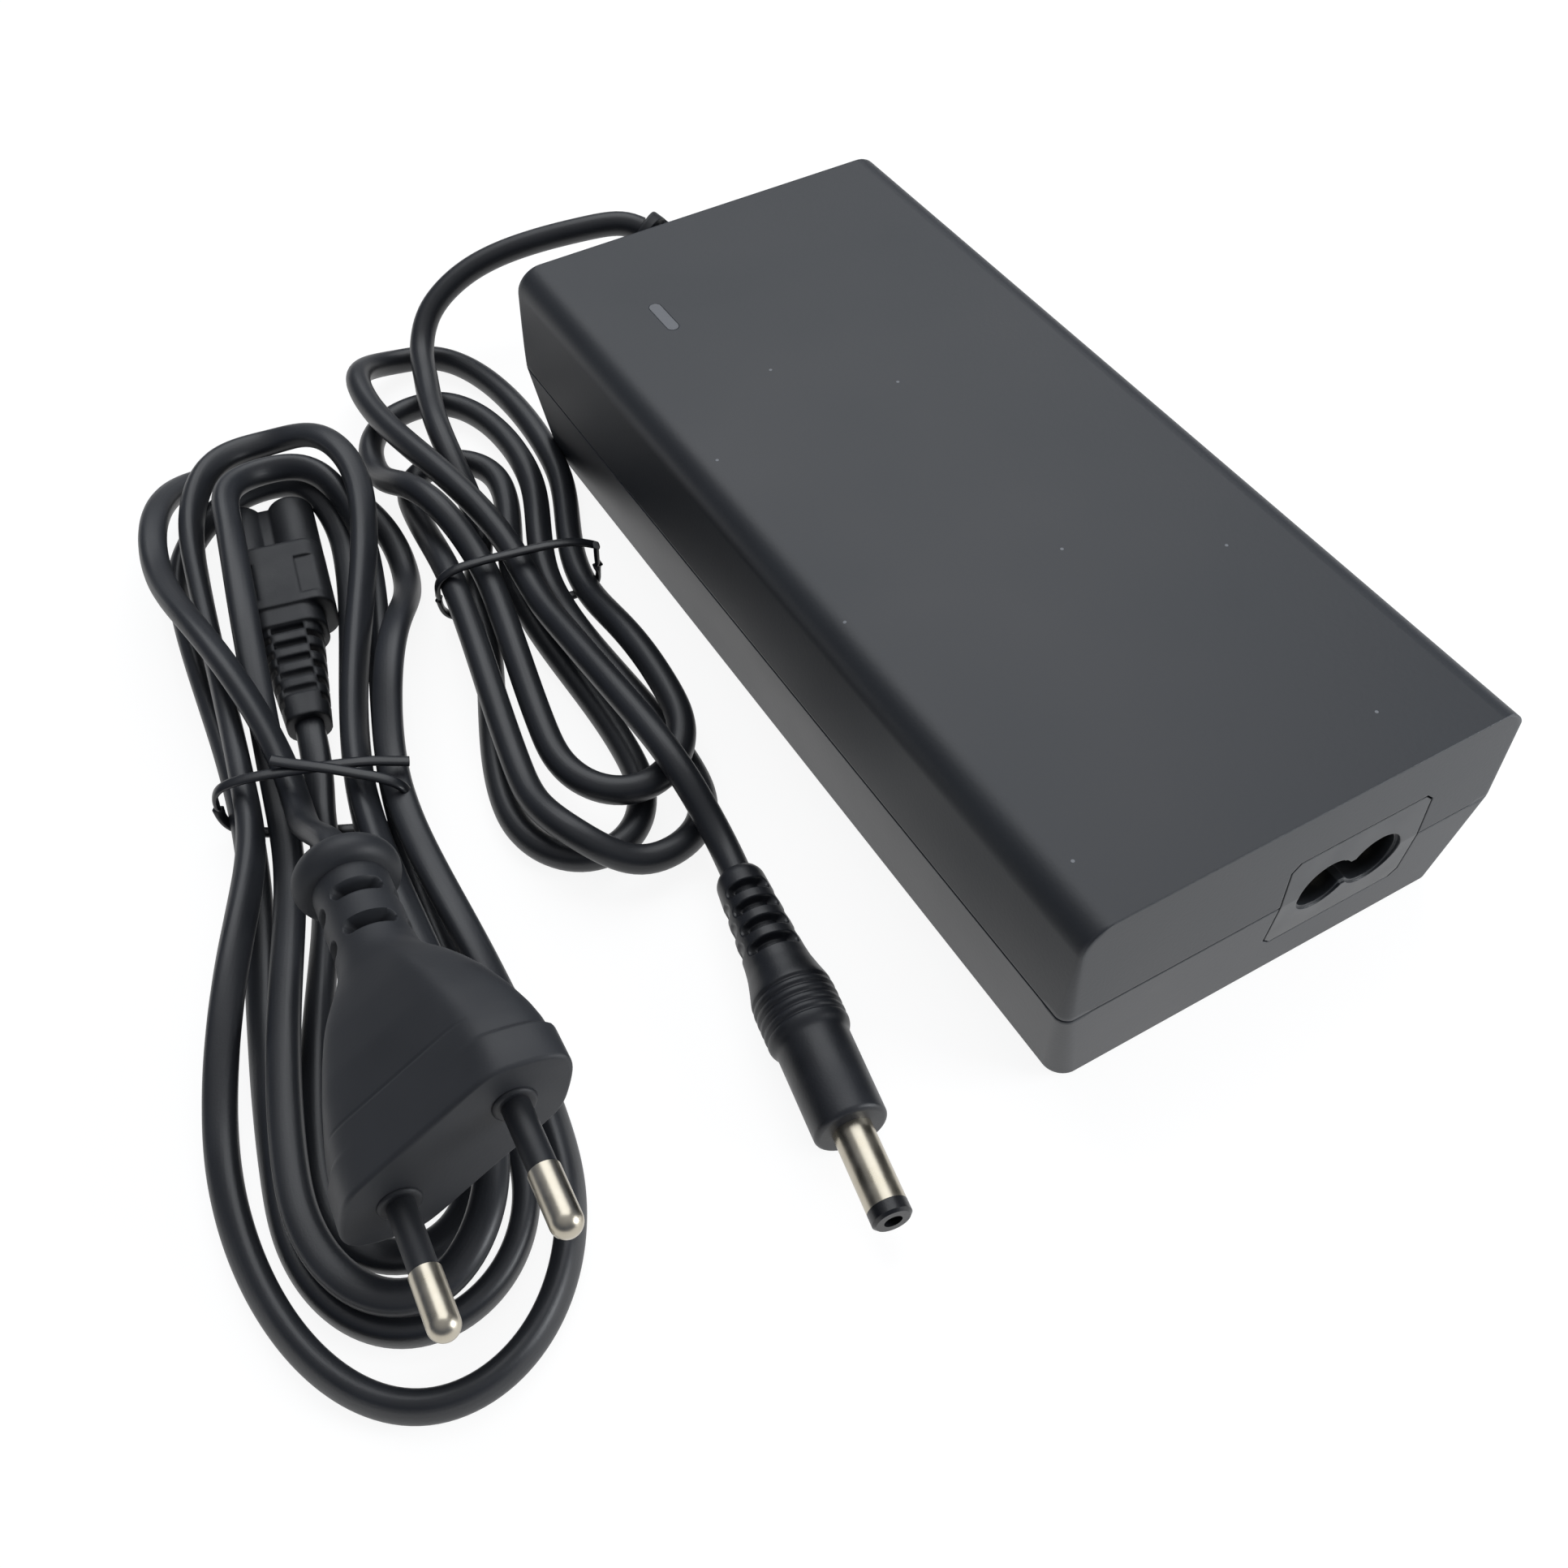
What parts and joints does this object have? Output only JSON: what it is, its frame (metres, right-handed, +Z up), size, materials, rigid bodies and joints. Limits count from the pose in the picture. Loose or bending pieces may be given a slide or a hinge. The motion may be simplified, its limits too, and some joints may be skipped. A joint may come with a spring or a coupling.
{
  "type": "laptop power adapter",
  "caption": "Flat rectangular laptop power adapter with a tied low-voltage lead ending in a barrel plug, beside its tied mains lead with a flat two-pin plug.",
  "frame": {"origin": "centre of the housing's bottom face, on the surface it stands on", "axes": "+Y along the housing from the inlet end to the output end, +Z up, +X to the right seen from the inlet end"},
  "size_m": [0.175, 0.2029, 0.0374],
  "materials": {
    "charcoal_abs": "fine spark-eroded texture, satin",
    "black_insert": "smooth moulded",
    "nickel": "bright nickel plate",
    "light_pipe": "clear moulding, unlit",
    "led_resin": "clear resin",
    "board_green": "lacquered board",
    "ferrite": "sintered ferrite",
    "winding_tape": "yellow tape on a black bobbin",
    "copper_wire": "enamelled copper wire",
    "capacitor_box": "potted box",
    "capacitor_sleeve": "shrink sleeve",
    "chip_resin": "moulded resin",
    "opto_resin": "moulded resin",
    "fuse_glass": "glass tube with nickel caps",
    "sink_aluminium": "bare sheet",
    "lead_pvc": "satin PVC sheath",
    "wire_red": "PVC insulation",
    "plug_pvc": "moulded PVC, matte",
    "tie_pvc": "PVC-coated wire tie"
  },
  "bodies": {
    "adapter": {"top_shell": "charcoal_abs", "bottom_shell": "charcoal_abs", "inlet_block": "black_insert", "inlet_pins": "nickel", "led_window": "light_pipe", "led": "led_resin", "circuit_board": "board_green", "transformer_core": "ferrite", "transformer_winding": "winding_tape", "choke_core": "ferrite", "choke_windings": "copper_wire", "x_capacitor": "capacitor_box", "bulk_capacitor": "capacitor_sleeve", "output_capacitors": "capacitor_sleeve", "bridge_rectifier": "chip_resin", "fuse": "fuse_glass", "heatsink_primary": "sink_aluminium", "heatsink_secondary": "sink_aluminium", "power_transistors": "chip_resin", "optocoupler": "opto_resin", "controller_chip": "chip_resin", "dc_wires": "wire_red", "dc_relief": "lead_pvc", "dc_cord": "lead_pvc", "dc_hank": "lead_pvc", "dc_tie": "tie_pvc", "dc_plug_body": "plug_pvc", "dc_plug_barrel": "nickel", "dc_plug_tip": "black_insert"},
    "mains_lead": {"c7_connector": "plug_pvc", "c7_contacts": "nickel", "mains_hank": "lead_pvc", "mains_tie": "tie_pvc", "mains_plug_body": "plug_pvc", "mains_plug_sleeves": "plug_pvc", "mains_plug_pins": "nickel"}
  },
  "joints": [
    {"name": "mains_lead_lift", "type": "slide", "parent": "adapter", "child": "mains_lead", "axis": [0, 0, 1], "range_m": [0, 0.06]}
  ]
}
